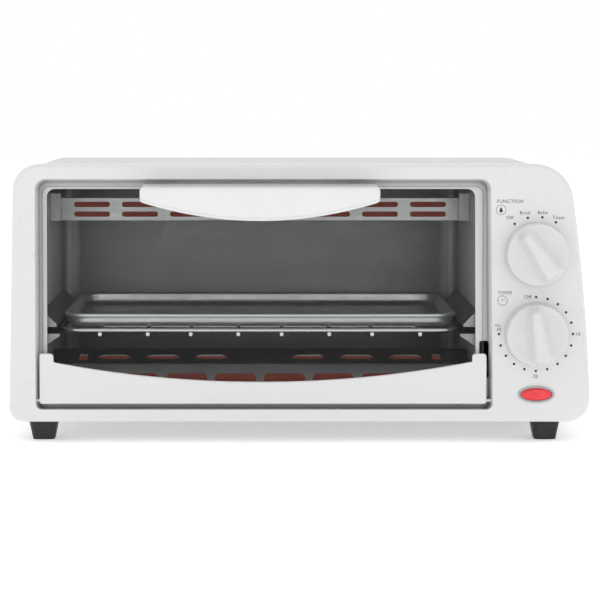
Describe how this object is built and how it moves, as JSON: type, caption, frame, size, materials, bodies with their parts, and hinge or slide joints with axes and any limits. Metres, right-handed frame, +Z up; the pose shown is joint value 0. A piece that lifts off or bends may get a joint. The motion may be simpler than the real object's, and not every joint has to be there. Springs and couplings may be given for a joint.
{
  "type": "toaster oven",
  "caption": "Compact white toaster oven with drop-down glass door, pull handle, sliding wire rack, bake tray, rear crumb tray, function and timer knobs, and feet.",
  "frame": {"origin": "centre of the box's underside, on the surface that the feet stand on", "axes": "+X to the right as the user faces the door, +Y from the door to the back, +Z up"},
  "size_m": [0.3598, 0.225, 0.1735],
  "materials": {
    "white_enamel": "gloss baked enamel",
    "galvanised": "dull galvanised sheet",
    "aluminised": "dull aluminised sheet, lightly brushed",
    "tray_steel": "bright plated pressing",
    "plated_steel": "zinc plated",
    "plated_wire": "bright chromed wire",
    "element": "dark sheathed heating element",
    "ceramic": "unglazed white ceramic",
    "clear_glass": "clear toughened pane",
    "white_plastic": "gloss white moulding",
    "grey_plastic": "grey moulding",
    "black_plastic": "black moulding",
    "foot_rubber": "black rubber, satin",
    "fibre": "fibre washer",
    "bell_brass": "thin pressed brass",
    "red_lens": "clear red moulding",
    "lamp_glass": "small neon lamp"
  },
  "bodies": {
    "oven": {"front_frame": "white_enamel", "cabinet_wrap": "white_enamel", "base_pan": "galvanised", "back_cover": "galvanised", "rear_spacers": "black_plastic", "cord_inlet": "black_plastic", "case_screws": "plated_steel", "foot_front_left": "foot_rubber", "foot_front_right": "foot_rubber", "foot_rear_left": "foot_rubber", "foot_rear_right": "foot_rubber", "foot_screws": "plated_steel", "cavity_liner": "aluminised", "left_rack_rail": "aluminised", "right_rack_rail": "aluminised", "upper_heater": "element", "lower_heater": "element", "upper_heater_insulators": "ceramic", "lower_heater_insulators": "ceramic", "upper_heater_guard": "aluminised", "lower_heater_guard": "aluminised", "heat_shield": "galvanised", "thermal_cutout": "black_plastic", "left_hinge_pin": "plated_wire", "right_hinge_pin": "plated_wire", "left_hinge_bracket": "plated_steel", "right_hinge_bracket": "plated_steel", "door_spring": "plated_steel", "function_switch": "black_plastic", "timer_body": "grey_plastic", "timer_bell": "bell_brass", "control_bracket": "plated_steel", "lens_bezel": "grey_plastic", "indicator_lens": "red_lens", "indicator_lamp": "lamp_glass", "terminal_block": "grey_plastic"},
    "door": {"door_lower_trim": "white_enamel", "door_glass": "clear_glass", "door_handle": "white_plastic", "handle_screws": "plated_steel", "handle_washers": "fibre", "door_arm": "plated_steel"},
    "rack": {"wire_rack": "plated_wire"},
    "tray": {"bake_tray": "tray_steel"},
    "crumb_drawer": {"crumb_tray": "aluminised"},
    "function_control": {"function_knob": "white_plastic", "function_shaft": "plated_steel"},
    "timer_control": {"timer_knob": "white_plastic", "timer_shaft": "plated_steel"}
  },
  "joints": [
    {"name": "door_hinge", "type": "hinge", "parent": "oven", "child": "door", "pos_m": [0, -0.0775, 0.0265], "axis": [1, 0, 0], "range_deg": [0, 85]},
    {"name": "rack_slide", "type": "slide", "parent": "oven", "child": "rack", "axis": [0, -1, 0], "range_m": [0, 0.055]},
    {"name": "tray_lift", "type": "slide", "parent": "rack", "child": "tray", "axis": [0, 0, 1], "range_m": [0, 0.022]},
    {"name": "crumb_slide", "type": "slide", "parent": "oven", "child": "crumb_drawer", "axis": [0, 1, 0], "range_m": [0, 0.15]},
    {"name": "function_turn", "type": "hinge", "parent": "oven", "child": "function_control", "pos_m": [0.1463, -0.0825, 0.1181], "axis": [0, 1, 0], "range_deg": [0, 67.5]},
    {"name": "timer_turn", "type": "hinge", "parent": "oven", "child": "timer_control", "pos_m": [0.1463, -0.0825, 0.0684], "axis": [0, 1, 0], "range_deg": [0, 279]}
  ],
  "couplings": [
    {"joint": "rack_slide", "follows": "door_hinge", "m_per_rad": 0.037}
  ]
}
